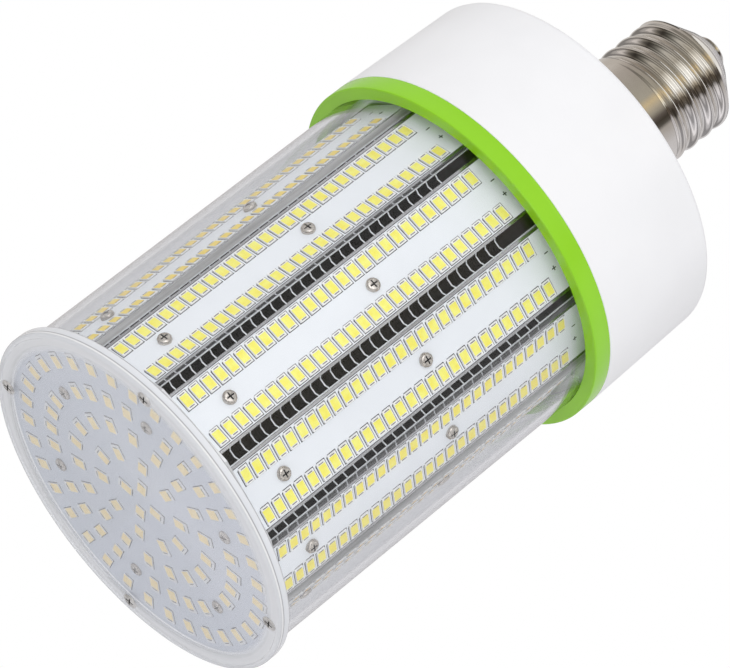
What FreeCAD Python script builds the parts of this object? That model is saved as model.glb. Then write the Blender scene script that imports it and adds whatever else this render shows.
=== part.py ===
import FreeCAD, Part
import math
import os

# Corn LED lamp with a mogul screw base, standing on its clear end cover with the base up.
# Origin: centre of the end cover's outer face. +Z runs along the lamp axis to the base.
# All sizes are in millimetres and degrees.

# Clear tube and end cover
tube_radius = 55.65
tube_wall = 2.0
cover_flange = 2.6          # how far the cover stands out past the tube
cover_rim = 4.0             # height of the cover's rim
cover_plate = 2.6           # thickness of the cover in front of the round board
cover_edge = 1.0            # chamfer of the front edge
tube_fit = 0.1              # radial play of the tube in the cover and in the ring

# LED packages
led_length = 5.7
led_width = 3.0
led_height = 0.75
led_group = 4               # neighbours of a long row that are joined in one block

# Round board behind the cover
disc_board_play = 1.65      # radial play between round board and tube
disc_board_thickness = 1.6
disc_led_gap = 0.3          # between the LED tops and the cover
disc_led_edge = 3.9         # from the board's edge to the middle of the outer LED ring
disc_inner_ring = 6.5       # radius of the innermost LED ring
disc_ring_counts = (4, 10, 18, 30, 34)
disc_ring_turns = (-15.0, 2.0, 5.0, 15.0, 15.0)
disc_screw_ring = 3         # in this ring every fifth place holds a screw in place of an LED
disc_screw_step = 5
front_plate_thickness = 2.4

# Long LED boards on their rails
strip_count = 12
first_strip_angle = -90.0
strip_gap = 2.4             # between the LEDs' outer corners and the tube
led_row_offset = 6.67       # of each LED row from the middle of its board
led_first = 2.91            # first LED from the board's front end
led_pitch = 4.363
led_tail = 9.4              # bare length kept free at the board's rear end
board_thickness = 1.6
board_play = 0.25           # between the board and the lips of its rail
board_end_gap = 0.7         # rail left bare at the rear end of the board
rail_length = 126.6
rail_depth = 2.45           # from the top of the lips to the back of the rail
rail_lip = 0.6              # width of the lip on each side of the board
channel_width = 4.6         # opening between the lips of two neighbouring rails

# Cooling fins, flush with the backs of the rails
fin_thickness = 0.6
fin_first = 4.6             # middle of the first fin from the front plate
fin_pitch = 3.93
fin_tail = 15.5             # length left without fins before the rear plate

# Ring, rear plate and driver housing
ring_wall = 4.15            # from the tube to the outside of the ring
ring_height = 6.4
rear_plate_play = 0.3
rear_plate_thickness = 2.0
housing_height = 44.7
housing_draft = 1.2         # the housing's radius shrinks by this up to its top
housing_wall = 2.0          # at the top, where the draft leaves it thinnest
housing_top = 3.0
housing_edge = 1.2          # chamfer of the top edge

# Screw base
shell_radius = 19.55
shell_wall = 0.6
shell_height = 35.0         # collar and thread
cone_height = 8.2
cone_tip_radius = 11.0
neck_step = 2.25            # from the shell to the outside of the neck
neck_height = 17.1
neck_bore = 15.0
spigot_height = 9.0
spigot_play = 0.05
insulator_height = 3.2
insulator_tip_radius = 7.0
contact_radius = 6.0
contact_height = 1.8

# Driver
driver_board_width = 84.0
driver_board_thickness = 1.6
driver_headroom = 5.7       # between the driver board and the housing's ceiling
core_size = (30.0, 14.0, 26.0)
winding_size = (22.0, 20.0, 14.0)
capacitor_size = (26.0, 11.0, 20.0)
component_offset = 22.0     # of transformer and capacitor from the middle of the board
lead_radius = 1.0

# Heights along the axis
disc_face = cover_plate + disc_led_gap + led_height
front_plate_base = disc_face + disc_board_thickness
strip_base = front_plate_base + front_plate_thickness
engine_top = strip_base + rail_length
driver_base = engine_top + rear_plate_thickness
housing_ceiling = engine_top + housing_height - housing_top
housing_roof = engine_top + housing_height
driver_board_top = housing_ceiling - driver_headroom
neck_top = housing_roof + neck_height
shell_top = neck_top + shell_height
cone_top = shell_top + cone_height
insulator_top = cone_top + insulator_height

# Radii and distances from the axis
tube_bore = tube_radius - tube_wall
cover_radius = tube_radius + cover_flange
socket_radius = tube_radius + tube_fit
ring_radius = tube_radius + ring_wall
roof_radius = ring_radius - housing_draft
housing_bore = roof_radius - housing_wall
disc_radius = tube_bore - disc_board_play
led_row_edge = led_row_offset + led_length / 2
board_face = math.sqrt((tube_bore - strip_gap) ** 2 - led_row_edge ** 2) - led_height
rail_floor = board_face - board_thickness
rail_back = board_face - rail_depth
strip_angle = 360.0 / strip_count
half_angle = math.radians(strip_angle / 2)
rail_half = (board_face * math.sin(half_angle) - channel_width / 2) / math.cos(half_angle)
rail_back_half = rail_half - rail_depth * math.tan(half_angle)
seat_half = rail_half - rail_lip
board_half = seat_half - board_play


def vector(x, y, z):
    return FreeCAD.Vector(x, y, z)


AXIS = vector(0, 0, 1)
ORIGIN = vector(0, 0, 0)


def revolved(profile):
    """Solid turned about the lamp axis from (radius, height) corners."""
    corners = [vector(radius, 0, height) for radius, height in profile]
    face = Part.Face(Part.makePolygon(corners + corners[:1]))
    return face.revolve(ORIGIN, AXIS, 360)


def prism(outline, base, height):
    """Solid raised along the lamp axis from (x, y) corners."""
    corners = [vector(x, y, base) for x, y in outline]
    return Part.Face(Part.makePolygon(corners + corners[:1])).extrude(AXIS * height)


def block(size, centre, base):
    """Box of (x, y, z) size, centred in plan on (x, y), standing on base."""
    corner = vector(centre[0] - size[0] / 2, centre[1] - size[1] / 2, base)
    return Part.makeBox(*size, corner)


def turned(shape, degrees):
    copy = shape.copy()
    copy.rotate(ORIGIN, AXIS, degrees)
    return copy


def strip_polygon(apothem):
    """Outline with one flat behind each strip."""
    corner = apothem / math.cos(half_angle)
    angles = [math.radians(first_strip_angle) + half_angle * (2 * k + 1) for k in range(strip_count)]
    return [(corner * math.cos(a), corner * math.sin(a)) for a in angles]


def end_cover():
    return revolved([
        (0, 0), (cover_radius - cover_edge, 0), (cover_radius, cover_edge), (cover_radius, cover_rim),
        (socket_radius, cover_rim), (socket_radius, cover_plate), (0, cover_plate),
    ])


def clear_tube():
    return revolved([
        (tube_bore, cover_plate), (tube_radius, cover_plate),
        (tube_radius, engine_top), (tube_bore, engine_top),
    ])


def disc_board():
    return Part.makeCylinder(disc_radius, disc_board_thickness, vector(0, 0, disc_face))


def disc_leds():
    """LEDs of the round board, long side along the radius, in evenly spaced rings."""
    outer_ring = disc_radius - disc_led_edge
    ring_pitch = (outer_ring - disc_inner_ring) / (len(disc_ring_counts) - 1)
    leds = []
    for ring, (count, turn) in enumerate(zip(disc_ring_counts, disc_ring_turns)):
        radius = disc_inner_ring + ring * ring_pitch
        led = block((led_length, led_width, led_height), (radius, 0), disc_face - led_height)
        for place in range(count):
            if ring == disc_screw_ring and place % disc_screw_step == 0:
                continue
            leds.append(turned(led, turn + place * 360.0 / count))
    return Part.makeCompound(leds)


def front_plate():
    return prism(strip_polygon(board_face), front_plate_base, front_plate_thickness)


def strip_rail():
    """Rail of the strip that faces +X: a bar with a lip along each side of the board.

    It narrows to its back, so that the channel to the next rail has parallel sides.
    """
    outline = [
        (rail_back, -rail_back_half), (board_face, -rail_half),
        (board_face, -seat_half), (rail_floor, -seat_half),
        (rail_floor, seat_half), (board_face, seat_half),
        (board_face, rail_half), (rail_back, rail_back_half),
    ]
    return prism(outline, strip_base, rail_length)


def strip_board():
    size = (board_thickness, 2 * board_half, rail_length - board_end_gap)
    return block(size, (rail_floor + board_thickness / 2, 0), strip_base)


def strip_leds():
    """Two rows of LEDs, each joined with its next neighbours in blocks."""
    board_length = rail_length - board_end_gap
    count = int((board_length - led_first - led_tail) / led_pitch) + 1
    leds = []
    for row in (-led_row_offset, led_row_offset):
        for place in range(0, count, led_group):
            joined = min(led_group, count - place)
            base = strip_base + led_first + place * led_pitch - led_width / 2
            size = (led_height, led_length, (joined - 1) * led_pitch + led_width)
            leds.append(block(size, (board_face + led_height / 2, row), base))
    return Part.makeCompound(leds)


def cooling_fins():
    count = int((rail_length - fin_first - fin_tail) / fin_pitch) + 1
    base = strip_base + fin_first - fin_thickness / 2
    outline = strip_polygon(rail_back)
    return Part.makeCompound([prism(outline, base + k * fin_pitch, fin_thickness) for k in range(count)])


def green_ring():
    base = engine_top - ring_height
    return revolved([
        (socket_radius, base), (ring_radius, base), (ring_radius, engine_top), (socket_radius, engine_top),
    ])


def rear_plate():
    reach = housing_bore - rear_plate_play
    return prism(strip_polygon(reach * math.cos(half_angle)), engine_top, rear_plate_thickness)


def driver_housing():
    """Drafted housing with a straight bore, a neck and a spigot for the base shell."""
    neck_radius = shell_radius + neck_step
    spigot_radius = shell_radius - shell_wall - spigot_play
    spigot_top = neck_top + spigot_height
    return revolved([
        (housing_bore, engine_top), (ring_radius, engine_top), (roof_radius, housing_roof - housing_edge),
        (roof_radius - housing_edge, housing_roof), (neck_radius, housing_roof), (neck_radius, neck_top),
        (spigot_radius, neck_top), (spigot_radius, spigot_top), (neck_bore, spigot_top),
        (neck_bore, housing_ceiling), (housing_bore, housing_ceiling),
    ])


def base_shell():
    """Collar and thread at the thread's outer radius, closed by a cone with a straight bore."""
    cone_bore = cone_tip_radius - shell_wall
    return revolved([
        (shell_radius - shell_wall, neck_top), (shell_radius, neck_top), (shell_radius, shell_top),
        (cone_tip_radius, cone_top), (cone_bore, cone_top), (cone_bore, shell_top),
        (shell_radius - shell_wall, shell_top),
    ])


def base_insulator():
    return revolved([
        (0, cone_top), (cone_tip_radius, cone_top), (insulator_tip_radius, insulator_top), (0, insulator_top),
    ])


def base_contact():
    return Part.makeCylinder(contact_radius, contact_height, vector(0, 0, insulator_top))


def driver_board():
    """Board that stands on its edge on the rear plate."""
    size = (driver_board_width, driver_board_thickness, driver_board_top - driver_base)
    return block(size, (0, 0), driver_base)


def transformer():
    """Core and winding in one block on the front of the driver board."""
    front = -driver_board_thickness / 2
    core = block(core_size, (-component_offset, front - core_size[1] / 2), driver_base)
    winding_base = driver_base + (core_size[2] - winding_size[2]) / 2
    winding = block(winding_size, (-component_offset, front - winding_size[1] / 2), winding_base)
    return core.fuse(winding).removeSplitter()


def filter_capacitor():
    back = driver_board_thickness / 2
    return block(capacitor_size, (component_offset, back + capacitor_size[1] / 2), driver_base)


def base_lead():
    """Lead that runs from the top edge of the driver board to the insulator."""
    return Part.makeCylinder(lead_radius, cone_top - driver_board_top, vector(0, 0, driver_board_top))


def lamp_parts():
    """Every piece by its name."""
    parts = {
        "end_cover": end_cover(),
        "clear_tube": clear_tube(),
        "disc_board": disc_board(),
        "disc_leds": disc_leds(),
        "front_plate": front_plate(),
        "cooling_fins": cooling_fins(),
        "green_ring": green_ring(),
        "rear_plate": rear_plate(),
        "driver_housing": driver_housing(),
        "driver_board": driver_board(),
        "transformer": transformer(),
        "filter_capacitor": filter_capacitor(),
        "base_lead": base_lead(),
        "base_shell": base_shell(),
        "base_insulator": base_insulator(),
        "base_contact": base_contact(),
    }
    strip_pieces = {"strip_rail": strip_rail(), "strip_board": strip_board(), "strip_leds": strip_leds()}
    for name, piece in strip_pieces.items():
        for number in range(strip_count):
            angle = first_strip_angle + number * strip_angle
            parts[f"{name}_{number + 1:02d}"] = turned(piece, angle)
    return parts


def main():
    os.makedirs("parts", exist_ok=True)
    for name, shape in lamp_parts().items():
        shape.exportStep(f"parts/{name}.step")


main()
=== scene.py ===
import math

import bmesh
import bpy
from mathutils import Matrix, Vector


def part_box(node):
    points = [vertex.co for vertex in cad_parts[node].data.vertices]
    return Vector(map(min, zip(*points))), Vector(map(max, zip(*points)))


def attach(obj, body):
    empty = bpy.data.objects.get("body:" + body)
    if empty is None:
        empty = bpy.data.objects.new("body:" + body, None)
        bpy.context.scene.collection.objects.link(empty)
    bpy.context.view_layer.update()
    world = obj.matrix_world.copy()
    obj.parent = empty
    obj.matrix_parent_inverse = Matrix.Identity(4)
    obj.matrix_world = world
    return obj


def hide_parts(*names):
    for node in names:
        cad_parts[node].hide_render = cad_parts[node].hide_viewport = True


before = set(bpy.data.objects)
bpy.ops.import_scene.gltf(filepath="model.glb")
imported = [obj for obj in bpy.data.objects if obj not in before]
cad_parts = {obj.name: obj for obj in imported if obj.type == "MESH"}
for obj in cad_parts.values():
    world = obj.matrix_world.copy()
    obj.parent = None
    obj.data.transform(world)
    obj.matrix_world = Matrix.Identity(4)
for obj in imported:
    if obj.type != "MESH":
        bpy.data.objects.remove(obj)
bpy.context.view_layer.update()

# Looks of the corn LED lamp. It stands on its clear end cover, with the screw base up.
MM = 0.001
same_place = 1e-6               # points closer than this count as one place


def radius_of(node):
    """Outer radius of a round CAD node."""
    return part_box(node)[1][0]


def heights_of(node):
    """Heights of a CAD node's foot and top."""
    low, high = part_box(node)
    return low[2], high[2]


# Clear parts
tube_radius = radius_of("clear_tube")
tube_wall = 2.0 * MM
tube_base, tube_top = heights_of("clear_tube")
tube_fit = 0.1 * MM
cover_radius = radius_of("end_cover")
cover_base, cover_top = heights_of("end_cover")
cover_round = 1.0 * MM
cover_dish = 0.4 * MM           # depth of the front face behind the rim's edge
cover_lip = 1.4 * MM            # width of the raised edge
cover_milk = (51.5 * MM, 54.5 * MM)     # radii between which the front turns milky
cover_shade = (51 * MM, 54 * MM)        # radii between which the front turns grey with painted shade
cover_turn = (cover_base + 0.8 * MM, cover_base + 1.0 * MM)     # heights where the front becomes the side
rim_edge = 0.4 * MM
clear_gap = 0.05 * MM           # air left between two clear pieces
cover_screw_ring = 53.8 * MM
cover_screw_size = 1.15         # against the screws of the boards
cover_screw_sink = 0.05 * MM    # depth of the heads' feet in the cover
cover_screw_angles = (-105, -15, 75, 165)

# Long LED boards
strip_count = 12
strip_turn = math.tau / strip_count
half_turn = strip_turn / 2
first_strip = -math.pi / 2
board_face = -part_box("strip_board_01")[0][1]
board_base, board_end = heights_of("strip_board_01")
led_rows = (-6.67 * MM, 6.67 * MM)
leds_in_row = 27
led_pitch = 4.363 * MM
led_base = board_base + 2.91 * MM
strip_screws = (board_base + 13.25 * MM, board_base + 69.85 * MM)
sign_height = board_end - 4.55 * MM
sign_offset = 2.6 * MM
sign_size = 1.5 * MM
sign_line = 0.35 * MM

# Cooling fins, with a notch in each channel between two rails
rail_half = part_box("strip_rail_01")[1][0]
rail_back = -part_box("strip_rail_01")[1][1]
rail_back_half = rail_half - (board_face - rail_back) * math.tan(half_turn)
# Distance from the lamp axis to the feet of the rails' sides, at the middle of a channel
channel_floor = rail_back * math.cos(half_turn) + rail_back_half * math.sin(half_turn)
lip_width = 0.8 * MM
lip_shadow_line = 0.2 * MM             # painted shadow in the gap between lip and board
foot_width = 0.22 * MM          # bead at the foot of each rail's side, painted bright as a highlight line
fin_count = 28
fin_pitch = 3.93 * MM
fin_thickness = 0.45 * MM
fin_lift = 0.08 * MM            # from the foot of the stack to its first plate
fin_base = heights_of("cooling_fins")[0] + fin_lift
notch_depth = 1.4 * MM
notch_half = 1.1 * MM

# LED packages
led_length = 5.4 * MM
led_width = 3.0 * MM
led_height = 0.45 * MM
window_length = 3.5 * MM
window_width = 2.5 * MM
window_depth = 0.08 * MM
contact_length = 1.8 * MM
contact_width = 0.24 * MM
contact_gap = 0.28 * MM         # from the window to the contact
film = 0.03 * MM                # thickness of print and contacts
print_length = 5.8 * MM
print_width = 3.8 * MM
print_line = 0.32 * MM
print_corner = 0.8 * MM

# Round LED board
disc_face = heights_of("disc_board")[0]
disc_first_ring = 6.5 * MM
disc_ring_step = 10.4 * MM
disc_counts = (4, 10, 18, 30, 34)
disc_turns = (-15, 2, 5, 15, 15)    # degrees to the first LED of each ring
disc_screw_ring = 3
disc_screw_step = 5             # every fifth place of that ring has a screw
disc_screw_height = 0.55        # against the screws of the long boards
disc_window_length = 4.0 * MM
disc_window_width = 2.9 * MM
disc_window_shift = -0.6 * MM   # towards the lamp axis
disc_led_width = 1.15           # against the LEDs of the long boards

# Cross-head screws
screw_radius = 2.2 * MM
screw_height = 1.3 * MM
screw_profile = (               # shares of radius and height
    (0.66, 1.0), (0.86, 0.86), (0.98, 0.55), (1.0, 0.3), (1.0, 0.0))
cross_length = 1.3 * MM
cross_width = 0.45 * MM
cross_depth = 0.7 * MM
cross_taper = 0.7               # floor of the recess against its mouth

# Ring, housing and base
ring_radius = radius_of("green_ring")
ring_base, ring_top = heights_of("green_ring")
ring_bore = tube_radius + tube_fit
ring_round = 0.5 * MM
ring_edge = 0.3 * MM
housing_radius = radius_of("driver_housing")
housing_base, spigot_top = heights_of("driver_housing")
housing_roof = housing_base + 44.7 * MM
roof_radius = housing_radius - 1.2 * MM
housing_wall = 2.0 * MM
housing_top = 3.0 * MM
housing_edge = 0.3 * MM
roof_round = 2.2 * MM
shell_radius = radius_of("base_shell")
shell_base, cone_top = heights_of("base_shell")
shell_wall = 0.5 * MM
neck_radius = shell_radius + 2.25 * MM
neck_bore = 15.0 * MM
neck_round = 0.8 * MM
neck_edge = 0.5 * MM
spigot_radius = shell_radius - 0.65 * MM
shell_top = shell_base + 35.0 * MM
cone_radius = 11.0 * MM
insulator_tip = 7.0 * MM
insulator_round = 0.6 * MM
contact_round = 0.9 * MM
thread_pitch = 6.35 * MM
thread_depth = 1.4 * MM
thread_crest = shell_base + 14.25 * MM      # height of a crest at the camera's side
thread_start = shell_base + 11.95 * MM
thread_end = shell_base + 34.95 * MM
thread_run = 3.0 * MM           # length over which the thread grows and fades
thread_rows = 70

# Camera and light
view_azimuth = math.radians(-81.84)
view_rise = math.radians(26.49)
view_roll = math.radians(51.71)
view_distance = 1353.4 * MM
view_side = 2.3 * MM
view_height = 90.8 * MM
view_lens = 227.4
world_level = 0.8
floor_drop = 0.5 * MM           # below the lamp's foot
floor_reach = 6.0
wall_radius = 3.0

# Walls seen in reflections: colours by degrees round from the camera's side, shades by height
studio_walls = (
    dict(
        name="wall_low", base=-4.0, top=0.9,
        bands=(
            (-180, 0.60, 0.58, 0.57), (-106, 0.46, 0.43, 0.42), (-94, 0.20, 0.18, 0.16),
            (-82, 0.07, 0.06, 0.05), (-68, 0.18, 0.17, 0.15), (-50, 0.36, 0.34, 0.31),
            (-22, 0.42, 0.39, 0.34), (-6, 0.85, 0.82, 0.76), (6, 1.0, 0.99, 0.96), (18, 1.0, 0.99, 0.97),
            (30, 0.45, 0.40, 0.33), (38, 0.10, 0.08, 0.06), (52, 0.08, 0.07, 0.06),
            (62, 0.52, 0.50, 0.52), (84, 0.69, 0.68, 0.73), (180, 0.62, 0.60, 0.62)),
        streaks=(
            (-4.0, 0.9), (-2.4, 0.9), (-2.3, 0.5), (-2.05, 0.5), (-1.95, 0.95), (-1.6, 1.0), (-1.55, 1.5),
            (-1.3, 1.5), (-1.25, 1.0), (-1.1, 1.0), (-0.98, 0.5), (-0.7, 0.5), (-0.58, 0.95), (-0.4, 0.95),
            (-0.35, 1.5), (-0.1, 1.5), (-0.05, 0.9), (0.2, 0.85), (0.35, 0.45), (0.9, 0.5)),
    ),
    dict(
        name="wall_middle", base=0.9, top=2.6,
        bands=(
            (-180, 0.66, 0.64, 0.63), (-100, 0.62, 0.58, 0.55), (-75, 0.48, 0.44, 0.41),
            (-40, 0.42, 0.39, 0.35), (-8, 0.44, 0.41, 0.35), (4, 0.68, 0.55, 0.35), (15, 0.52, 0.46, 0.36),
            (24, 0.36, 0.33, 0.28), (33, 0.13, 0.11, 0.10), (42, 0.06, 0.05, 0.04), (51, 0.10, 0.09, 0.08),
            (58, 0.46, 0.43, 0.41), (90, 0.70, 0.69, 0.73), (180, 0.66, 0.64, 0.65)),
        streaks=((0.9, 0.5), (1.1, 1.0), (2.2, 1.0), (2.35, 0.55), (2.6, 0.55)),
    ),
    dict(
        name="wall_high", base=2.6, top=8.0,
        bands=(
            (-180, 0.60, 0.58, 0.57), (-100, 0.52, 0.48, 0.46), (-85, 0.22, 0.20, 0.18),
            (-20, 0.32, 0.30, 0.26), (-2, 0.58, 0.53, 0.43), (8, 0.95, 0.78, 0.48), (24, 0.85, 0.82, 0.74),
            (36, 0.10, 0.08, 0.06), (55, 0.10, 0.08, 0.07), (65, 0.55, 0.53, 0.56), (95, 0.68, 0.67, 0.71),
            (180, 0.60, 0.58, 0.59)),
        streaks=(
            (2.6, 0.55), (2.8, 1.0), (3.2, 1.0), (3.25, 1.5), (3.55, 1.5), (3.6, 1.0), (4.4, 1.0),
            (4.6, 0.5), (5.2, 0.5), (5.4, 1.0), (8.0, 0.9)),
    ),
)


# Finishes

noise_low = 0.3                 # most of the noise lies between these two
noise_high = 0.7


def new_finish(name):
    """New material, with its tree and its shader."""
    material = bpy.data.materials.new(name)
    material.use_nodes = True
    return material, material.node_tree, material.node_tree.nodes["Principled BSDF"]


def settle(shader, **values):
    """Sets plain values on the shader's own sockets."""
    for socket, value in values.items():
        shader.inputs[socket.replace("_", " ")].default_value = value


def feed(tree, socket, value):
    """Links a source to a socket, or sets a plain value on it."""
    if isinstance(value, bpy.types.NodeSocket):
        tree.links.new(value, socket)
    else:
        socket.default_value = value


def grain(tree, scale, stretch=(1, 1, 1), detail=4):
    """Noise on the piece's own coordinates, in lumps of about one metre over scale."""
    place = tree.nodes.new("ShaderNodeTexCoord")
    mapping = tree.nodes.new("ShaderNodeMapping")
    mapping.inputs["Scale"].default_value = stretch
    noise = tree.nodes.new("ShaderNodeTexNoise")
    noise.inputs["Scale"].default_value = scale
    noise.inputs["Detail"].default_value = detail
    tree.links.new(place.outputs["Object"], mapping.inputs["Vector"])
    tree.links.new(mapping.outputs["Vector"], noise.inputs["Vector"])
    return noise.outputs["Fac"]


def spread(tree, source, low, high, start=noise_low, end=noise_high):
    """Stretches a source onto the values from low to high."""
    node = tree.nodes.new("ShaderNodeMapRange")
    for socket, value in (("From Min", start), ("From Max", end), ("To Min", low), ("To Max", high)):
        node.inputs[socket].default_value = value
    tree.links.new(source, node.inputs["Value"])
    return node.outputs["Result"]


def ramp(tree, source, stops):
    """Colour read from a source through (position, colour) stops."""
    node = tree.nodes.new("ShaderNodeValToRGB")
    elements = node.color_ramp.elements
    while len(elements) < len(stops):
        elements.new(0.5)
    for element, (position, colour) in zip(elements, stops):
        element.position = position
        element.color = (*colour, 1)
    tree.links.new(source, node.inputs["Fac"])
    return node.outputs["Color"]


def blend(tree, source, first, second):
    """Colour that wanders between two colours with a source."""
    return ramp(tree, source, ((noise_low, first), (noise_high, second)))


def relief(tree, shader, source, depth, strength=1.0):
    """Fine bumps of a depth on the shader's surface."""
    node = tree.nodes.new("ShaderNodeBump")
    node.inputs["Strength"].default_value = strength
    node.inputs["Distance"].default_value = depth
    tree.links.new(source, node.inputs["Height"])
    tree.links.new(node.outputs["Normal"], shader.inputs["Normal"])


def mottled(name, first, second, scale, rough, depth=0.0, stretch=(1, 1, 1), **values):
    """Finish whose colour and roughness wander between two ends, with a relief six times as fine."""
    material, tree, shader = new_finish(name)
    settle(shader, **values)
    cloud = grain(tree, scale, stretch)
    tree.links.new(blend(tree, cloud, first, second), shader.inputs["Base Color"])
    tree.links.new(spread(tree, cloud, *rough), shader.inputs["Roughness"])
    if depth:
        relief(tree, shader, grain(tree, 6 * scale, stretch), depth)
    return material


def mixed(tree, weight, first, second, how="MIX"):
    """Colour between two colours, which are sockets or plain values, by a weight of the same kind."""
    node = tree.nodes.new("ShaderNodeMix")
    node.data_type = "RGBA"
    node.blend_type = how
    for socket, value in (("Factor", weight), ("A", first), ("B", second)):
        feed(tree, node.inputs[socket], value)
    return node.outputs["Result"]


def reckon(tree, operation, *sources):
    """Outcome of a reckoning on sources, which are sockets or plain values."""
    node = tree.nodes.new("ShaderNodeMath")
    node.operation = operation
    for socket, source in zip(node.inputs, sources):
        feed(tree, socket, source)
    return node.outputs["Value"]


def upward(tree, coordinate="Object"):
    """Part along the lamp axis of the piece's own coordinates."""
    place = tree.nodes.new("ShaderNodeTexCoord")
    parts = tree.nodes.new("ShaderNodeSeparateXYZ")
    tree.links.new(place.outputs[coordinate], parts.inputs["Vector"])
    return parts.outputs["Z"]


def from_axis(tree):
    """Distance from the lamp axis."""
    place = tree.nodes.new("ShaderNodeTexCoord")
    flat = tree.nodes.new("ShaderNodeMapping")
    flat.inputs["Scale"].default_value = (1, 1, 0)
    reach = tree.nodes.new("ShaderNodeVectorMath")
    reach.operation = "LENGTH"
    tree.links.new(place.outputs["Object"], flat.inputs["Vector"])
    tree.links.new(flat.outputs["Vector"], reach.inputs[0])
    return reach.outputs["Value"]


def slant(tree, start, end):
    """Nought where one looks straight at the surface, one where one looks along it."""
    look = tree.nodes.new("ShaderNodeLayerWeight")
    return spread(tree, look.outputs["Facing"], 0.0, 1.0, start, end)


def clear_tube_plastic():
    """Clear plastic, a little wavy, whose tint deepens where one looks along its wall."""
    material, tree, shader = new_finish("tube_clear")
    settle(shader, Transmission_Weight=1.0, IOR=1.35, Roughness=0.0)
    tint = blend(tree, grain(tree, 30), (0.88, 0.885, 0.895), (0.90, 0.905, 0.915))
    deepened = mixed(tree, slant(tree, 0.3, 1.0), tint, (0.37, 0.375, 0.42, 1))
    tree.links.new(deepened, shader.inputs["Base Color"])
    relief(tree, shader, grain(tree, 60, detail=1), 0.001 * MM)
    return material


def cover_plastic():
    """Clear plastic that turns milky towards its rim, greyed there by painted shade, with a painted
    highlight band and a painted shade band round the side.
    """
    material, tree, shader = new_finish("cover_clear")
    settle(shader, IOR=1.49, Roughness=0.0)
    reach = from_axis(tree)
    rise = upward(tree)
    clear = spread(tree, reach, 1.0, 0.2, *cover_milk)
    # Grey on the front's outer rim and its rounded edge is painted shade
    outer = spread(tree, reach, 0.0, 1.0, *cover_shade)
    side = spread(tree, rise, 0.0, 1.0, *cover_turn)
    # Round the side, the pale band is a painted highlight and the dark band is painted shade
    bands = ramp(tree, spread(tree, rise, 0.0, 1.0, cover_base, cover_top), (
        (0.34, (0.92, 0.92, 0.93)), (0.38, (0.42, 0.42, 0.44)), (0.42, (0.42, 0.42, 0.44)),
        (0.47, (0.74, 0.755, 0.79)), (1.0, (0.80, 0.81, 0.84))))
    tint = blend(tree, grain(tree, 30), (0.90, 0.905, 0.925), (0.92, 0.925, 0.94))
    front = mixed(tree, outer, tint, (0.70, 0.71, 0.74, 1))
    tree.links.new(mixed(tree, side, front, bands), shader.inputs["Base Color"])
    tree.links.new(clear, shader.inputs["Transmission Weight"])
    relief(tree, shader, grain(tree, 60, detail=1), 0.01 * MM)
    return material


def upright_faces(tree):
    """One on faces that stand along the lamp, nought on faces square to it."""
    lean = reckon(tree, "ABSOLUTE", upward(tree, "Normal"))
    return reckon(tree, "LESS_THAN", lean, 0.5)


def two_sided(name, faces, sides, scale, rough, **values):
    """Finish with one pair of colours on the faces square to the lamp axis and one round the sides."""
    material, tree, shader = new_finish(name)
    settle(shader, **values)
    cloud = grain(tree, scale)
    colour = mixed(tree, upright_faces(tree), blend(tree, cloud, *faces), blend(tree, cloud, *sides))
    tree.links.new(colour, shader.inputs["Base Color"])
    tree.links.new(spread(tree, cloud, *rough), shader.inputs["Roughness"])
    return material


def drawn_rail_metal():
    """Streaked aluminium, dull where one looks straight at it and mirror-like at a slant."""
    material, tree, shader = new_finish("rail_metal")
    polish = slant(tree, 0.30, 0.37)
    dull = blend(tree, grain(tree, 600, (1, 1, 0.03)), (0.42, 0.42, 0.42), (1.0, 1.0, 1.0))
    bright = blend(tree, grain(tree, 1400, (1, 1, 0.01)), (0.38, 0.38, 0.40), (0.92, 0.92, 0.94))
    tree.links.new(mixed(tree, polish, dull, bright), shader.inputs["Base Color"])
    tree.links.new(spread(tree, polish, 0.15, 0.75, 0.0, 1.0), shader.inputs["Metallic"])
    tree.links.new(spread(tree, polish, 0.28, 0.09, 0.0, 1.0), shader.inputs["Roughness"])
    return material


def bright_nickel():
    """Plated sheet with smudges and fine scratches round the axis."""
    material, tree, shader = new_finish("bright_nickel")
    settle(shader, Metallic=1.0)
    smudge = grain(tree, 70)
    plating = blend(tree, smudge, (0.68, 0.64, 0.58), (0.84, 0.82, 0.78))
    tree.links.new(plating, shader.inputs["Base Color"])
    tree.links.new(spread(tree, smudge, 0.05, 0.13), shader.inputs["Roughness"])
    relief(tree, shader, grain(tree, 400, (1, 1, 6)), 0.01 * MM, 0.4)
    return material


def phosphor():
    """Yellow filling of an LED window, deeper in places, with an orange sheen."""
    material, tree, shader = new_finish("phosphor")
    settle(shader, Sheen_Weight=1.0, Sheen_Roughness=0.5, Sheen_Tint=(1.0, 0.45, 0.12, 1))
    cloud = grain(tree, 420, detail=2)
    yellow = blend(tree, cloud, (0.98, 0.90, 0.11), (1.0, 1.0, 0.24))
    tree.links.new(yellow, shader.inputs["Base Color"])
    tree.links.new(spread(tree, cloud, 0.3, 0.45), shader.inputs["Roughness"])
    return material


# A mottled finish has two colours, the scale of its grain, its two roughnesses and the depth of its relief
cover_clear = cover_plastic()
tube_clear = clear_tube_plastic()
board_white = mottled("board_white", (0.85, 0.88, 0.92), (0.88, 0.91, 0.95), 60, (0.35, 0.5), 0.01 * MM)
# The round board's white is the long boards' white darkened: painted shade
disc_white_painted_shade = mottled("disc_white_painted_shade", (0.56, 0.60, 0.68), (0.61, 0.64, 0.715), 45, (0.4, 0.5), 0.01 * MM)
package_white = mottled("package_white", (0.88, 0.88, 0.87), (0.94, 0.94, 0.94), 300, (0.35, 0.5))
window_yellow = phosphor()
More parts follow.
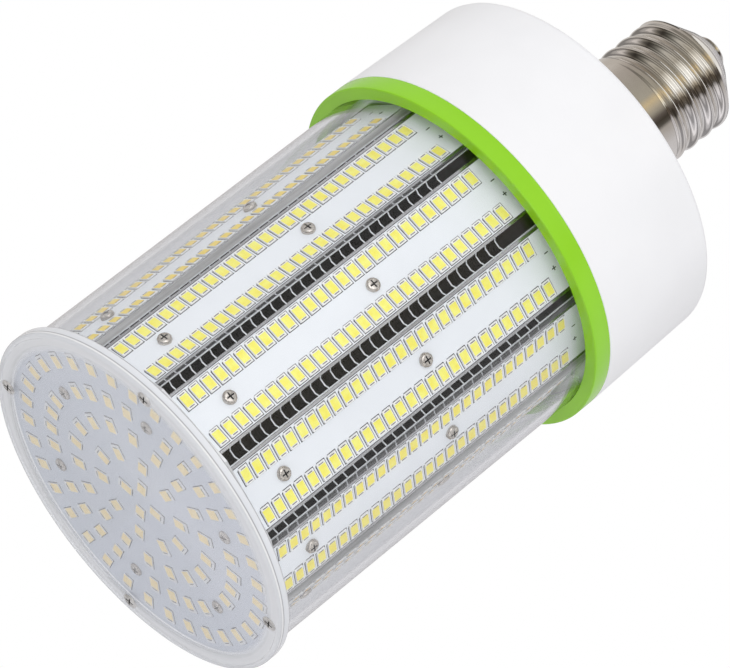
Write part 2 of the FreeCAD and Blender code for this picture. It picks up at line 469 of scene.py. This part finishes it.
# The round board's LEDs are the long boards' LEDs darkened and dulled: painted shade
package_grey_painted_shade = mottled("package_grey_painted_shade", (0.70, 0.71, 0.74), (0.76, 0.77, 0.79), 260, (0.35, 0.5))
window_tan_painted_shade = mottled("window_tan_painted_shade", (0.86, 0.68, 0.35), (0.92, 0.77, 0.46), 300, (0.35, 0.5))
# Dark colour of the LEDs' solder contacts is painted shade
contact_painted_shade = mottled("contact_painted_shade", (0.10, 0.095, 0.09), (0.22, 0.21, 0.19), 500, (0.3, 0.5))
# Near-black of the print, also used for the painted shadow line beside each rail's lip
print_and_shadow_grey = mottled("print_and_shadow_grey", (0.015, 0.015, 0.018), (0.04, 0.04, 0.045), 300, (0.5, 0.7))
# Grey line round the rim's top, where the tube enters it: painted shade of the joint
rim_shadow_line = mottled("rim_shadow_line", (0.36, 0.36, 0.38), (0.46, 0.46, 0.48), 300, (0.3, 0.5))
# Bright colour of the beads at the rails' feet is a painted highlight
foot_painted_highlight = mottled("foot_painted_highlight", (0.77, 0.80, 0.82), (0.89, 0.93, 0.95), 500, (0.4, 0.6))
rail_metal = drawn_rail_metal()
lip_metal = mottled("lip_metal", (0.38, 0.38, 0.39), (0.62, 0.62, 0.63), 300, (0.12, 0.25), 0.004 * MM,
                    (1, 1, 0.05), Metallic=1.0)
plate_metal = mottled("plate_metal", (0.62, 0.63, 0.64), (0.80, 0.81, 0.82), 120, (0.25, 0.4),
                      Metallic=1.0)
fin_metal = two_sided("black_fin_metal", ((0.002, 0.002, 0.002), (0.005, 0.005, 0.006)),
                      ((0.84, 0.88, 0.91), (0.91, 0.95, 0.98)), 160, (0.6, 0.75), Specular_IOR_Level=0.1)
screw_metal = mottled("screw_metal", (0.44, 0.40, 0.36), (0.68, 0.64, 0.59), 700, (0.15, 0.28),
                      Metallic=1.0)
cover_screw_metal = mottled("cover_screw_metal", (0.40, 0.39, 0.38), (0.85, 0.84, 0.83), 420, (0.2, 0.4),
                            Metallic=0.6)
# Near-black of the screws' cross recesses is painted shade
recess_painted_shade = mottled("recess_painted_shade", (0.02, 0.02, 0.02), (0.06, 0.055, 0.05), 900, (0.4, 0.6),
                      Metallic=0.5)
# The ring's sides get a lighter green than its faces: painted light
lime_plastic = two_sided("lime_plastic", ((0.24, 0.54, 0.014), (0.26, 0.575, 0.017)),
                         ((0.28, 0.63, 0.022), (0.30, 0.665, 0.026)), 40, (0.16, 0.26),
                         Specular_IOR_Level=0.45)
white_plastic = mottled("white_plastic", (0.85, 0.85, 0.87), (0.88, 0.88, 0.90), 35, (0.3, 0.42),
                        0.006 * MM)
nickel = bright_nickel()
black_glass = mottled("black_glass", (0.008, 0.008, 0.009), (0.03, 0.028, 0.026), 200, (0.06, 0.16))
green_board = mottled("green_board", (0.015, 0.10, 0.03), (0.03, 0.17, 0.05), 160, (0.3, 0.45))
dark_case = mottled("dark_case", (0.02, 0.02, 0.022), (0.045, 0.045, 0.05), 180, (0.45, 0.6))
lead_rubber = mottled("lead_rubber", (0.45, 0.03, 0.02), (0.58, 0.05, 0.03), 220, (0.4, 0.55))


# Shapes

def lathe(profile, steps=160):
    """Wall or solid turned about the lamp axis from the (radius, height) corners of its section."""
    shape = bmesh.new()
    corners = [shape.verts.new((radius, 0, height)) for radius, height in profile]
    sides = [shape.edges.new(pair) for pair in zip(corners, corners[1:] + corners[:1])
             if max(pair[0].co.x, pair[1].co.x) > 0]
    bmesh.ops.spin(shape, geom=corners + sides, cent=(0, 0, 0), axis=(0, 0, 1), angle=math.tau,
                   steps=steps, use_merge=True)
    bmesh.ops.remove_doubles(shape, verts=shape.verts[:], dist=same_place / 10)
    bmesh.ops.recalc_face_normals(shape, faces=shape.faces[:])
    return shape


def round_edge(shape, radius, height, size, segments=4):
    """Rounds the turned edge that runs at a radius and a height."""
    def on_edge(vert):
        return abs(vert.co.xy.length - radius) < same_place and abs(vert.co.z - height) < same_place
    edges = [edge for edge in shape.edges if all(on_edge(vert) for vert in edge.verts)]
    bmesh.ops.bevel(shape, geom=edges, offset=size, offset_type="OFFSET", affect="EDGES",
                    segments=segments, profile=0.5, material=-1)


def slab(shape, size, centre, finish=0):
    """Adds a box of (x, y, z) size about its centre."""
    place = Matrix.Translation(centre) @ Matrix.Diagonal((*size, 1))
    made = bmesh.ops.create_cube(shape, size=1, matrix=place)
    for face in {face for vert in made["verts"] for face in vert.link_faces}:
        face.material_index = finish


def points_of(geom):
    """Vertices among what an operator made."""
    return [item for item in geom if isinstance(item, bmesh.types.BMVert)]


def lines_of(geom):
    """Edges among what an operator made."""
    return [item for item in geom if isinstance(item, bmesh.types.BMEdge)]


def thicken(shape, rise):
    """Makes flat faces solid by raising a copy of them."""
    raised = bmesh.ops.extrude_face_region(shape, geom=shape.faces[:])["geom"]
    bmesh.ops.translate(shape, vec=rise, verts=points_of(raised))
    bmesh.ops.recalc_face_normals(shape, faces=shape.faces[:])


def template(shape):
    """Keeps a shape as a mesh that is copied to many places."""
    mesh = bpy.data.meshes.new("template")
    shape.to_mesh(mesh)
    shape.free()
    return mesh


def add_copies(shape, mesh, places):
    """Adds a copy of the template at each place."""
    for place in places:
        start = len(shape.verts)
        shape.from_mesh(mesh)
        shape.verts.ensure_lookup_table()
        bmesh.ops.transform(shape, matrix=place, verts=shape.verts[start:])
    return shape


def copies(mesh, places):
    """New shape with a copy of the template at each place."""
    return add_copies(bmesh.new(), mesh, places)


def new_object(name, shape, finishes):
    """Links an object that holds a shape and its finishes."""
    mesh = bpy.data.meshes.new(name)
    shape.to_mesh(mesh)
    shape.free()
    for finish in finishes:
        mesh.materials.append(finish)
    obj = bpy.data.objects.new(name, mesh)
    bpy.context.scene.collection.objects.link(obj)
    return obj


def piece(name, shape, finishes, slot, *nodes, crease=35):
    """Makes a shape a piece of the lamp, in place of the CAD nodes that it stands for."""
    obj = new_object(name, shape, finishes)
    obj.data.shade_smooth()
    obj.data.set_sharp_from_angle(angle=math.radians(crease))
    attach(obj, "root")
    if nodes:
        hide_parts(*nodes)
    return obj


def dress(node, finish):
    """Gives a CAD node its finish."""
    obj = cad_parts[node]
    if not obj.material_slots:
        obj.data.materials.append(finish)
    for slot in obj.material_slots:
        slot.material = finish


def strip_angle(number, past=0.0):
    """Angle round the lamp of a long board, or of a direction past it."""
    return first_strip + number * strip_turn + past


def on_strip(number, across, height):
    """Place on the face of a long board: X stands out of it, Y runs across it and Z along the lamp."""
    turn = Matrix.Rotation(strip_angle(number), 4, "Z")
    return turn @ Matrix.Translation((board_face, across, height))


def on_end(radius, angle, height):
    """Place at the lamp's front end: X points out of it, Y along the radius."""
    place = Matrix.Rotation(angle, 4, "Z") @ Matrix.Translation((radius, 0, height))
    return place @ Matrix(((0, 1, 0, 0), (0, 0, -1, 0), (-1, 0, 0, 0), (0, 0, 0, 1)))


def led_template(length, width, shift=0.0, contacts=(-1, 1)):
    """Package with a sunk window of a length and a width, and contacts at its ends, darkened as painted
    shade.
    """
    shape = bmesh.new()
    slab(shape, (led_height, led_length, led_width), (led_height / 2, 0, 0))
    top = max(shape.faces, key=lambda face: face.calc_center_median().x)
    side = (led_width - width) / 2
    bmesh.ops.inset_region(shape, faces=[top], thickness=side, depth=-window_depth)
    squeeze = length / (led_length - 2 * side)
    bmesh.ops.scale(shape, vec=(1, squeeze, 1), verts=top.verts)
    bmesh.ops.translate(shape, vec=(0, shift, 0), verts=top.verts)
    top.material_index = 1
    reach = length / 2 + contact_gap + contact_width / 2
    # Contacts get the third finish, dark as painted shade
    for end in contacts:
        slab(shape, (2 * film, contact_width, contact_length), (led_height, shift + end * reach, 0), 2)
    return template(shape)


def outline_template():
    """Printed outline round one LED, with a cut corner."""
    shape = bmesh.new()
    y = print_length / 2
    z = print_width / 2
    corners = [(-y + print_corner, -z), (y, -z), (y, z), (-y, z), (-y, -z + print_corner)]
    face = shape.faces.new([shape.verts.new((0, *corner)) for corner in corners])
    shape.normal_update()
    bmesh.ops.inset_region(shape, faces=[face], thickness=print_line, use_boundary=True)
    bmesh.ops.delete(shape, geom=[face], context="FACES")
    thicken(shape, (film, 0, 0))
    return template(shape)


def sign_template(arms):
    """Printed minus sign with one arm, or plus sign with two."""
    shape = bmesh.new()
    slab(shape, (film, sign_line, sign_size), (film / 2, 0, 0))
    if arms == 2:
        cross_film = 1.5 * film     # so that the two arms' faces don't coincide
        slab(shape, (cross_film, sign_size, sign_line), (cross_film / 2, 0, 0))
    return template(shape)


def screw_template():
    """Pan head with a cross recess, standing out along X."""
    shape = bmesh.new()
    half = cross_width / 2
    arm = [Vector(corner) for corner in ((cross_length, -half), (cross_length, half), (half, half))]
    quarters = [Matrix.Rotation(quarter * math.pi / 2, 2) for quarter in range(4)]
    corners = [quarter @ corner for quarter in quarters for corner in arm]
    cross = shape.faces.new([shape.verts.new((*corner, screw_height)) for corner in corners])
    bmesh.ops.subdivide_edges(shape, edges=cross.edges[:], cuts=1)
    rim = cross.edges[:]
    for radius, height in screw_profile:
        grown = bmesh.ops.extrude_edge_only(shape, edges=rim)["geom"]
        rim = lines_of(grown)
        for vert in points_of(grown):
            flat = vert.co.xy.normalized() * radius * screw_radius
            vert.co = (*flat, height * screw_height)
    bmesh.ops.contextual_create(shape, geom=rim)
    floor = points_of(bmesh.ops.extrude_face_region(shape, geom=[cross])["geom"])
    bmesh.ops.scale(shape, vec=(cross_taper, cross_taper, 1), verts=floor)
    bmesh.ops.translate(shape, vec=(0, 0, -cross_depth), verts=floor)
    # The recess gets the second finish, near-black as painted shade
    for face in {face for vert in floor for face in vert.link_faces}:
        face.material_index = 1
    bmesh.ops.delete(shape, geom=[cross], context="FACES_ONLY")
    bmesh.ops.recalc_face_normals(shape, faces=shape.faces[:])
    bmesh.ops.rotate(shape, matrix=Matrix.Rotation(math.pi / 2, 3, "Y"), verts=shape.verts[:])
    return template(shape)


# Pieces

def clear_parts():
    """End cover with a rounded front edge, and the tube in its rim."""
    seat = tube_radius + tube_fit
    plate_top = tube_base - clear_gap
    face = cover_base + cover_dish
    edge = cover_radius - cover_lip
    cover = lathe([(0, face), (edge - cover_dish, face), (edge, cover_base), (cover_radius, cover_base),
                   (cover_radius, cover_top), (seat, cover_top), (seat, plate_top), (0, plate_top)])
    round_edge(cover, cover_radius, cover_base, cover_round, segments=6)
    round_edge(cover, cover_radius, cover_top, rim_edge, segments=3)
    rim_foot = cover_top - rim_edge - same_place
    # The rim's top gets the second finish, grey as painted shade of the joint
    for side in cover.faces:
        if all(vert.co.z > rim_foot and vert.co.xy.length > edge for vert in side.verts):
            side.material_index = 1
    clear = [piece("front_cover", cover, [cover_clear, rim_shadow_line], "clear_plastic", "end_cover")]
    bore = tube_radius - tube_wall
    tube = lathe([(bore, tube_base), (tube_radius, tube_base),
                  (tube_radius, tube_top), (bore, tube_top)])
    clear.append(piece("outer_tube", tube, [tube_clear], "clear_plastic", "clear_tube"))
    for obj in clear:               # clear parts let all light in
        obj.visible_shadow = False
        obj.visible_diffuse = False


def led_strips():
    """LEDs, printed outlines, signs and screws of the twelve long boards."""
    led = led_template(window_length, window_width)
    outline = outline_template()
    screw = screw_template()
    minus = sign_template(1)
    plus = sign_template(2)
    heights = [led_base + place * led_pitch for place in range(leds_in_row)]
    for number in range(strip_count):
        label = f"{number + 1:02d}"
        places = [on_strip(number, row, height) for row in led_rows for height in heights]
        piece(f"strip_lights_{label}", copies(led, places), [package_white, window_yellow, contact_painted_shade],
              "led_yellow", f"strip_leds_{label}", crease=20)
        ink = copies(outline, places)
        add_copies(ink, minus, [on_strip(number, -sign_offset, sign_height)])
        add_copies(ink, plus, [on_strip(number, sign_offset, sign_height)])
        piece(f"strip_print_{label}", ink, [print_and_shadow_grey], "white_board", crease=20)
        heads = copies(screw, [on_strip(number, 0, height) for height in strip_screws])
        piece(f"strip_screws_{label}", heads, [screw_metal, recess_painted_shade], "nickel")


def rail_edges():
    """Polished lips, painted shadow lines in the gaps beside them, and beads at the feet of the rails'
    sides painted bright as a highlight.
    """
    length = board_end - board_base
    middle = (board_base + board_end) / 2
    lip_at = rail_half - lip_width / 2
    shadow_line_at = rail_half - lip_width - lip_shadow_line / 2
    foot_out = channel_floor + foot_width / 2
    foot_across = rail_back * math.sin(half_turn) - rail_back_half * math.cos(half_turn) - foot_width / 2
    edges = bmesh.new()
    for side in (-1, 1):
        slab(edges, (film, lip_width, length), (film / 2, side * lip_at, 0))
        # Dark line beside each lip: painted shadow of the gap
        slab(edges, (film, lip_shadow_line, length), (film / 2, side * shadow_line_at, 0), 1)
    edges = template(edges)
    bead = bmesh.new()
    # Bead coloured bright: painted highlight line
    slab(bead, (foot_width, foot_width, length), (0, 0, 0), 2)
    bead = template(bead)
    for number in range(strip_count):
        shape = copies(edges, [on_strip(number, 0, middle)])
        for side in (-1, 1):
            turn = Matrix.Rotation(strip_angle(number, side * half_turn), 4, "Z")
            add_copies(shape, bead, [turn @ Matrix.Translation((foot_out, -side * foot_across, middle))])
        piece(f"strip_edges_{number + 1:02d}", shape, [lip_metal, print_and_shadow_grey, foot_painted_highlight],
              "aluminium", crease=20)


def fin_stack():
    """Thin plates behind the rails, notched in each channel between two rails."""
    notch = channel_floor - notch_depth
    section = [(0, rail_back, -rail_back_half), (0, rail_back, rail_back_half),
               (half_turn, notch, -notch_half), (half_turn, notch, notch_half)]
    shape = bmesh.new()
    corners = []
    for number in range(strip_count):
        for past, out, across in section:
            turn = Matrix.Rotation(strip_angle(number, past), 3, "Z")
            corners.append(shape.verts.new(turn @ Vector((out, across, 0))))
    shape.faces.new(corners)
    thicken(shape, (0, 0, fin_thickness))
    places = [Matrix.Translation((0, 0, fin_base + place * fin_pitch)) for place in range(fin_count)]
    plates = copies(template(shape), places)
    piece("fin_stack", plates, [fin_metal], "black_fins", "cooling_fins", crease=20)


def disc_places():
    """Places of the LEDs and of the screws on the round board."""
    leds = []
    screws = []
    for ring, (count, turn) in enumerate(zip(disc_counts, disc_turns)):
        radius = disc_first_ring + ring * disc_ring_step
        for step in range(count):
            place = on_end(radius, math.radians(turn) + step * math.tau / count, disc_face)
            screw = ring == disc_screw_ring and step % disc_screw_step == 0
            (screws if screw else leds).append(place)
    return leds, screws


def round_board():
    """Rim, LEDs, printed outlines and screws of the round board."""
    edge = radius_of("disc_board")
    bore = tube_radius - tube_wall - clear_gap
    back = disc_face + rim_edge
    rim = lathe([(edge, disc_face), (bore, disc_face), (bore, back), (edge, back)])
    piece("disc_rim", rim, [disc_white_painted_shade], "white_board")
    leds, screws = disc_places()
    led = led_template(disc_window_length, disc_window_width, disc_window_shift, (1,))
    widen = Matrix.Diagonal((1, 1, disc_led_width, 1))
    lights = copies(led, [place @ widen for place in leds])
    piece("disc_lights", lights, [package_grey_painted_shade, window_tan_painted_shade, contact_painted_shade], "led_yellow", "disc_leds",
          crease=20)
    piece("disc_print", copies(outline_template(), leds), [print_and_shadow_grey], "white_board", crease=20)
    flatten = Matrix.Diagonal((disc_screw_height, 1, 1, 1))
    heads = copies(screw_template(), [place @ flatten for place in screws])
    piece("disc_screws", heads, [screw_metal, recess_painted_shade], "nickel")


def cover_screws():
    """Flat screws round the end cover, no higher than its dish is deep."""
    foot = cover_base + cover_dish + cover_screw_sink
    flatten = Matrix.Diagonal((cover_dish / screw_height, cover_screw_size, cover_screw_size, 1))
    places = [on_end(cover_screw_ring, math.radians(angle), foot) for angle in cover_screw_angles]
    heads = copies(screw_template(), [place @ flatten for place in places])
    piece("cover_screws", heads, [cover_screw_metal, recess_painted_shade], "nickel")


def lime_ring():
    """Ring round the tube's rear end, with rounded edges."""
    ring = lathe([(ring_bore, ring_base), (ring_radius, ring_base),
                  (ring_radius, ring_top), (ring_bore, ring_top)])
    round_edge(ring, ring_radius, ring_base, ring_round)
    round_edge(ring, ring_radius, ring_top, ring_edge, segments=3)
    piece("lime_ring", ring, [lime_plastic], "lime_plastic", "green_ring")


def white_housing():
    """Hollow drafted housing, with the neck and the spigot of the screw shell."""
    bore = roof_radius - housing_wall
    ceiling = housing_roof - housing_top
    housing = lathe([
        (bore, housing_base), (housing_radius, housing_base), (roof_radius, housing_roof),
        (neck_radius, housing_roof), (neck_radius, shell_base), (spigot_radius, shell_base),
        (spigot_radius, spigot_top), (neck_bore, spigot_top), (neck_bore, ceiling), (bore, ceiling),
    ])
    round_edge(housing, roof_radius, housing_roof, roof_round, segments=6)
    round_edge(housing, neck_radius, housing_roof, neck_round)
    round_edge(housing, neck_radius, shell_base, neck_edge, segments=3)
    round_edge(housing, housing_radius, housing_base, housing_edge, segments=3)
    piece("white_housing", housing, [white_plastic], "white_plastic", "driver_housing")


def thread_wave(angle, height):
    """How far the sheet is pressed in below the crest, at an angle and a height."""
    turn = (angle - view_azimuth) / math.tau
    wave = 0.5 - 0.5 * math.cos(math.tau * ((height - thread_crest) / thread_pitch - turn))
    grow = min(1, max(0, (height - thread_start) / thread_run))
    fade = min(1, max(0, (thread_end - height) / thread_run))
    return thread_depth * wave * grow * fade


def screw_shell():
    """Thin shell with a rolled thread, which narrows to a cone."""
    step = (shell_top - shell_base) / thread_rows
    outside = [(shell_radius, shell_base + row * step) for row in range(thread_rows + 1)]
    cone = [(cone_radius, cone_top), (cone_radius - shell_wall, cone_top)]
    inside = [(radius - shell_wall, height) for radius, height in reversed(outside)]
    shell = lathe(outside + cone + inside, steps=120)
    for vert in shell.verts:
        if vert.co.z < shell_top + same_place:
            flat = vert.co.xy
            pressed = 1 - thread_wave(math.atan2(flat.y, flat.x), vert.co.z) / flat.length
            vert.co.x *= pressed
            vert.co.y *= pressed
    piece("threaded_shell", shell, [nickel], "nickel", "base_shell", crease=60)


def base_tip():
    """Black insulator on the shell's cone, and the contact on it."""
    low, high = heights_of("base_insulator")
    insulator = lathe([(0, low), (cone_radius, low), (insulator_tip, high), (0, high)], steps=64)
    round_edge(insulator, insulator_tip, high, insulator_round, segments=3)
    piece("glass_insulator", insulator, [black_glass], "black_insulator", "base_insulator")
    low, high = heights_of("base_contact")
    reach = radius_of("base_contact")
    contact = lathe([(0, low), (reach, low), (reach, high), (0, high)], steps=64)
    round_edge(contact, reach, high, contact_round, segments=5)
    piece("tip_contact", contact, [nickel], "nickel", "base_contact")


def carried_nodes():
    """Finishes of the CAD nodes that are shown as they are."""
    for number in range(1, strip_count + 1):
        dress(f"strip_board_{number:02d}", board_white)
        dress(f"strip_rail_{number:02d}", rail_metal)
    for node, finish in (("disc_board", disc_white_painted_shade), ("front_plate", plate_metal),
                         ("rear_plate", plate_metal), ("driver_board", green_board),
                         ("transformer", dark_case), ("filter_capacitor", dark_case),
                         ("base_lead", lead_rubber)):
        dress(node, finish)


# Stage

def camera_axes():
    """Right, up and forward directions of the camera, and the point it looks at."""
    towards = Vector((math.cos(view_azimuth), math.sin(view_azimuth), 0))
    side = Vector((-towards.y, towards.x, 0))
    rise = Vector((0, 0, 1))
    forward = rise * math.sin(view_rise) - towards * math.cos(view_rise)
    level_up = rise * math.cos(view_rise) + towards * math.sin(view_rise)
    right = side * math.cos(view_roll) + level_up * math.sin(view_roll)
    up = level_up * math.cos(view_roll) - side * math.sin(view_roll)
    return right, up, forward, side * view_side + rise * view_height


def add_camera():
    """Camera at the photo's viewing angle."""
    right, up, forward, aim = camera_axes()
    data = bpy.data.cameras.new("photo_camera")
    data.lens = view_lens
    data.clip_end = 100
    camera = bpy.data.objects.new("photo_camera", data)
    turn = Matrix((right, up, -forward)).transposed().to_4x4()
    camera.matrix_world = Matrix.Translation(aim - forward * view_distance) @ turn
    bpy.context.scene.collection.objects.link(camera)
    bpy.context.scene.camera = camera


def add_lamp(name, right_by, up_by, towards_by, size, power):
    """Square lamp placed from the camera's own axes and aimed at the middle of the object."""
    right, up, forward, aim = camera_axes()
    data = bpy.data.lights.new(name, "AREA")
    data.size = size
    data.energy = power
    lamp = bpy.data.objects.new(name, data)
    lamp.location = aim + right * right_by + up * up_by - forward * towards_by
    lamp.visible_glossy = False
    lamp.rotation_euler = (aim - lamp.location).to_track_quat("-Z", "Y").to_euler()
    bpy.context.scene.collection.objects.link(lamp)


def add_world():
    """White to the camera, to metal and through clear parts, softer on plain surfaces."""
    world = bpy.data.worlds.new("studio")
    world.use_nodes = True
    tree = world.node_tree
    path = tree.nodes.new("ShaderNodeLightPath")
    seen = path.outputs["Is Camera Ray"]
    for ray in ("Is Glossy Ray", "Is Transmission Ray"):
        seen = reckon(tree, "MAXIMUM", seen, path.outputs[ray])
    level = spread(tree, seen, world_level, 1.0, 0.0, 1.0)
    tree.links.new(level, tree.nodes["Background"].inputs["Strength"])
    tree.nodes["Background"].inputs["Color"].default_value = (1, 1, 1, 1)
    bpy.context.scene.world = world


def stage_piece(name, shape, material):
    """Piece of the studio, which isn't part of the lamp."""
    obj = new_object(name, shape, [material])
    return obj


def add_floor():
    """Pale floor that only the camera sees, and only from above, as the photo looks up from below it."""
    shape = bmesh.new()
    bmesh.ops.create_grid(shape, x_segments=1, y_segments=1, size=floor_reach,
                          matrix=Matrix.Translation((0, 0, -floor_drop)))
    material, tree, shader = new_finish("floor_white")
    settle(shader, Roughness=0.9)
    pale = blend(tree, grain(tree, 2), (0.92, 0.92, 0.92), (0.95, 0.95, 0.95))
    tree.links.new(pale, shader.inputs["Base Color"])
    side = tree.nodes.new("ShaderNodeNewGeometry")
    path = tree.nodes.new("ShaderNodeLightPath")
    front = reckon(tree, "GREATER_THAN", path.outputs["Is Camera Ray"], side.outputs["Backfacing"])
    through = tree.nodes.new("ShaderNodeBsdfTransparent")
    either = tree.nodes.new("ShaderNodeMixShader")
    tree.links.new(front, either.inputs["Fac"])
    tree.links.new(through.outputs["BSDF"], either.inputs[1])
    tree.links.new(shader.outputs["BSDF"], either.inputs[2])
    tree.links.new(either.outputs["Shader"], tree.nodes["Material Output"].inputs["Surface"])
    stage_piece("floor", shape, material)


def add_reflected_wall(name, base, top, bands, streaks):
    """Round studio wall that only shows in reflections, light and dark by turns round the lamp."""
    shape = bmesh.new()
    bmesh.ops.create_cone(shape, cap_ends=False, segments=96, radius1=wall_radius, radius2=wall_radius,
                          depth=top - base, matrix=Matrix.Translation((0, 0, (base + top) / 2)))
    material, tree, shader = new_finish(name)
    place = tree.nodes.new("ShaderNodeTexCoord")
    mapping = tree.nodes.new("ShaderNodeMapping")
    mapping.inputs["Rotation"].default_value = (0, 0, -view_azimuth)
    angle = tree.nodes.new("ShaderNodeTexGradient")
    angle.gradient_type = "RADIAL"
    tree.links.new(place.outputs["Object"], mapping.inputs["Vector"])
    tree.links.new(mapping.outputs["Vector"], angle.inputs["Vector"])
    stops = [(0.5 + turn / 360, colour) for turn, *colour in bands]
    colours = ramp(tree, angle.outputs["Fac"], stops)
    lines = [((height - base) / (top - base), (level,) * 3) for height, level in streaks]
    levels = ramp(tree, spread(tree, upward(tree), 0, 1, base, top), lines)
    shade = mixed(tree, 1.0, colours, levels, "MULTIPLY")
    glow = tree.nodes.new("ShaderNodeEmission")
    tree.links.new(shade, glow.inputs["Color"])
    tree.links.new(glow.outputs["Emission"], tree.nodes["Material Output"].inputs["Surface"])
    tree.nodes.remove(shader)
    wall = stage_piece(name, shape, material)
    wall.visible_camera = False
    wall.visible_diffuse = False
    wall.visible_transmission = False
    wall.visible_shadow = False


clear_parts()
led_strips()
round_board()
cover_screws()
lime_ring()
white_housing()
screw_shell()
base_tip()
rail_edges()
fin_stack()
carried_nodes()
add_camera()
add_world()
add_floor()
for wall in studio_walls:
    add_reflected_wall(**wall)
add_lamp("key", right_by=0.2, up_by=0.6, towards_by=1.5, size=1.4, power=9)
add_lamp("fill", right_by=0.1, up_by=-1.2, towards_by=1.0, size=1.2, power=2.3)
bpy.context.scene.view_settings.view_transform = "Standard"
